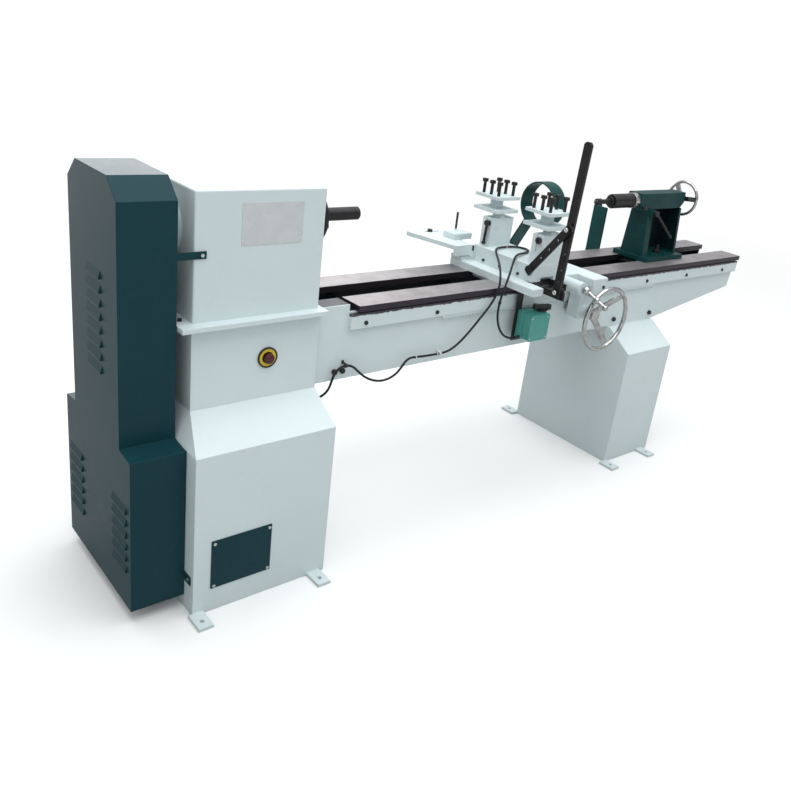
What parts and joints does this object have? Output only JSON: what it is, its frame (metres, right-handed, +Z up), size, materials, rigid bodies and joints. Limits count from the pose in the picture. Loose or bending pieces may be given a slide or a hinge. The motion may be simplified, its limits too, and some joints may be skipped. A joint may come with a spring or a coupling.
{
  "type": "wood copy lathe",
  "caption": "Free-standing wood copy lathe: belt-driven headstock on a column, long two-rail bed, hand-lever copying carriage with two tool posts, and tailstock with live centre.",
  "frame": {"origin": "middle of the four floor bolts of the headstock column, at floor level, under the spindle axis", "axes": "+X along the bed from headstock to tailstock, +Y away from the operator, +Z up"},
  "size_m": [3.052, 0.7773, 1.393],
  "materials": {
    "column": "satin",
    "access_panel": "satin",
    "headstock_plate": "satin",
    "headstock_housing": "satin",
    "spindle_bearings": "polished",
    "bearing_covers": "satin",
    "drive_belts": "matte",
    "motor": "satin",
    "belt_guard": "satin",
    "cover_screws": "satin",
    "stop_collar": "satin",
    "front_beam": "satin",
    "rear_beam": "satin",
    "bed_ties": "satin",
    "bed_rails": "ground",
    "edge_strip": "satin",
    "frame_bolts": "satin",
    "feed_rack": "machined",
    "tail_leg": "satin",
    "template_post": "satin",
    "cable_clips": "matte",
    "supply_cable": "matte",
    "carriage_cable": "matte",
    "spindle_shaft": "satin",
    "spindle_plate": "satin",
    "spindle_pulley": "machined",
    "motor_pulley": "machined",
    "stop_button": "satin",
    "saddle": "satin",
    "saddle_keepers": "satin",
    "steady_ring": "satin",
    "lever_bracket": "satin",
    "feed_box": "satin",
    "switch_plate": "satin",
    "switch_box": "satin",
    "feed_pinion": "machined",
    "feed_handwheel": "polished",
    "carriage_clamp_handle": "polished",
    "switch_knob": "satin",
    "cross_slide": "satin",
    "slide_screws": "satin",
    "tool_posts": "satin",
    "tool_holders": "satin",
    "tool_clamp_bolts": "satin",
    "follower_arm": "satin",
    "follower_block": "satin",
    "hand_lever": "satin",
    "slide_link": "satin",
    "rear_post_handle": "satin",
    "front_post_knob": "satin",
    "tailstock_body": "satin",
    "tailstock_barrel": "satin",
    "quill_collar": "polished",
    "tailstock_clamp": "satin",
    "quill": "ground",
    "centre_body": "satin",
    "centre_nose": "satin",
    "tail_handwheel": "polished",
    "tailstock_lever": "satin"
  },
  "bodies": {
    "base": {"column": "column", "access_panel": "access_panel", "headstock_plate": "headstock_plate", "headstock_housing": "headstock_housing", "spindle_bearings": "spindle_bearings", "bearing_covers": "bearing_covers", "drive_belts": "drive_belts", "motor": "motor", "belt_guard": "belt_guard", "cover_screws": "cover_screws", "stop_collar": "stop_collar", "front_beam": "front_beam", "rear_beam": "rear_beam", "bed_ties": "bed_ties", "bed_rails": "bed_rails", "edge_strip": "edge_strip", "frame_bolts": "frame_bolts", "feed_rack": "feed_rack", "tail_leg": "tail_leg", "template_post": "template_post", "cable_clips": "cable_clips", "supply_cable": "supply_cable", "carriage_cable": "carriage_cable"},
    "spindle": {"spindle_shaft": "spindle_shaft", "spindle_plate": "spindle_plate", "spindle_pulley": "spindle_pulley"},
    "motor_rotor": {"motor_pulley": "motor_pulley"},
    "stop_button": {"stop_button": "stop_button"},
    "carriage": {"saddle": "saddle", "saddle_keepers": "saddle_keepers", "steady_ring": "steady_ring", "lever_bracket": "lever_bracket", "feed_box": "feed_box", "switch_plate": "switch_plate", "switch_box": "switch_box"},
    "feed_wheel": {"feed_pinion": "feed_pinion", "feed_handwheel": "feed_handwheel"},
    "carriage_clamp": {"carriage_clamp_handle": "carriage_clamp_handle"},
    "switch_knob": {"switch_knob": "switch_knob"},
    "cross_slide": {"cross_slide": "cross_slide", "slide_screws": "slide_screws", "tool_posts": "tool_posts", "tool_holders": "tool_holders", "tool_clamp_bolts": "tool_clamp_bolts", "follower_arm": "follower_arm", "follower_block": "follower_block"},
    "hand_lever": {"hand_lever": "hand_lever"},
    "slide_link": {"slide_link": "slide_link"},
    "rear_post_handle": {"rear_post_handle": "rear_post_handle"},
    "front_post_knob": {"front_post_knob": "front_post_knob"},
    "tailstock": {"tailstock_body": "tailstock_body", "tailstock_barrel": "tailstock_barrel", "quill_collar": "quill_collar", "tailstock_clamp": "tailstock_clamp"},
    "quill": {"quill": "quill", "centre_body": "centre_body"},
    "live_centre": {"centre_nose": "centre_nose"},
    "tail_wheel": {"tail_handwheel": "tail_handwheel"},
    "tail_lever": {"tailstock_lever": "tailstock_lever"}
  },
  "joints": [
    {"name": "spindle_spin", "type": "hinge", "parent": "base", "child": "spindle", "pos_m": [0, 0, 1.1], "axis": [1, 0, 0], "continuous": true},
    {"name": "motor_spin", "type": "hinge", "parent": "base", "child": "motor_rotor", "pos_m": [0, 0, 0.3], "axis": [1, 0, 0], "continuous": true},
    {"name": "stop_press", "type": "slide", "parent": "base", "child": "stop_button", "axis": [0, 1, 0], "range_m": [0, 0.006], "stiffness_N_per_m": 400},
    {"name": "carriage_slide", "type": "slide", "parent": "base", "child": "carriage", "axis": [1, 0, 0], "range_m": [-0.58, 0.26], "deforming": ["carriage_cable"]},
    {"name": "feed_turn", "type": "hinge", "parent": "carriage", "child": "feed_wheel", "pos_m": [1.453, -0.324, 0.726], "axis": [0, 1, 0], "range_deg": [-640.7, 1404.65]},
    {"name": "carriage_clamp_turn", "type": "hinge", "parent": "carriage", "child": "carriage_clamp", "pos_m": [1.318, -0.299, 0.85], "axis": [0, 1, 0], "range_deg": [-45, 45]},
    {"name": "switch_turn", "type": "hinge", "parent": "carriage", "child": "switch_knob", "pos_m": [1.214, -0.204, 0.752], "axis": [0, 0, 1], "range_deg": [-45, 45]},
    {"name": "cross_slide_move", "type": "slide", "parent": "carriage", "child": "cross_slide", "axis": [0, 1, 0], "range_m": [-0.03, 0.05]},
    {"name": "lever_swing", "type": "hinge", "parent": "carriage", "child": "hand_lever", "pos_m": [1.118, -0.336, 0.872], "axis": [1, 0, 0], "range_deg": [-13.41, 8.44]},
    {"name": "link_swing", "type": "hinge", "parent": "hand_lever", "child": "slide_link", "pos_m": [1.107, -0.34349, 1.09788], "axis": [1, 0, 0], "range_deg": [-8.58, 13.63]},
    {"name": "rear_post_clamp", "type": "hinge", "parent": "cross_slide", "child": "rear_post_handle", "pos_m": [1.129, 0.062, 1.022], "axis": [1, 0, 0], "range_deg": [-70, 80]},
    {"name": "front_post_clamp", "type": "hinge", "parent": "cross_slide", "child": "front_post_knob", "pos_m": [1.133, -0.2, 1.022], "axis": [1, 0, 0], "range_deg": [-90, 90]},
    {"name": "tailstock_slide", "type": "slide", "parent": "base", "child": "tailstock", "axis": [1, 0, 0], "range_m": [-0.1, 0.34]},
    {"name": "quill_feed", "type": "slide", "parent": "tailstock", "child": "quill", "axis": [-1, 0, 0], "range_m": [0, 0.07]},
    {"name": "centre_spin", "type": "hinge", "parent": "quill", "child": "live_centre", "pos_m": [1.75, 0, 1.1], "axis": [1, 0, 0], "continuous": true},
    {"name": "tail_wheel_turn", "type": "hinge", "parent": "tailstock", "child": "tail_wheel", "pos_m": [2.306, 0, 1.1], "axis": [1, 0, 0], "range_deg": [-20, 5060]},
    {"name": "tail_lever_turn", "type": "hinge", "parent": "tailstock", "child": "tail_lever", "pos_m": [2.022, -0.062, 1.053], "axis": [0, 1, 0], "range_deg": [-30, 45]}
  ],
  "couplings": [
    {"joint": "motor_spin", "follows": "spindle_spin", "ratio": 1.7692},
    {"joint": "feed_turn", "follows": "carriage_slide", "rad_per_m": -41.667},
    {"joint": "lever_swing", "follows": "cross_slide_move", "rad_per_m": -4.3302},
    {"joint": "link_swing", "follows": "cross_slide_move", "rad_per_m": 4.4096},
    {"joint": "tail_wheel_turn", "follows": "quill_feed", "rad_per_m": 1256.6}
  ]
}
